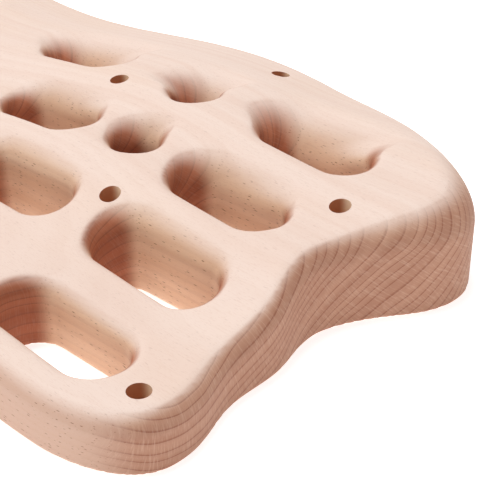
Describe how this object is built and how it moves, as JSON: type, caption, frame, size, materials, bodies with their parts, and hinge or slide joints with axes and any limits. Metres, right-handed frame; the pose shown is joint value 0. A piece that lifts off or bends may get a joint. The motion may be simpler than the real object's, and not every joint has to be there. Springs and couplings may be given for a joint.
{
  "type": "climbing hangboard",
  "caption": "Carved beech hangboard for finger training, with rounded finger slots, round one-finger holes and countersunk wall screws.",
  "frame": {"origin": "middle of the flat back face, on the wall's surface, half way along the board and 6 mm above the middle of its height", "axes": "+X along the board to its right end, +Y up the wall towards the thick lobes, +Z out of the wall through the front face"},
  "size_m": [0.6536, 0.264, 0.088],
  "materials": {
    "beech": "fine sanded, oiled",
    "steel": "satin"
  },
  "bodies": {
    "root": {"board": "beech", "foot_screws": "steel", "middle_screws": "steel", "shoulder_screws": "steel", "inner_screws": "steel", "crest_screws": "steel"}
  },
  "joints": []
}
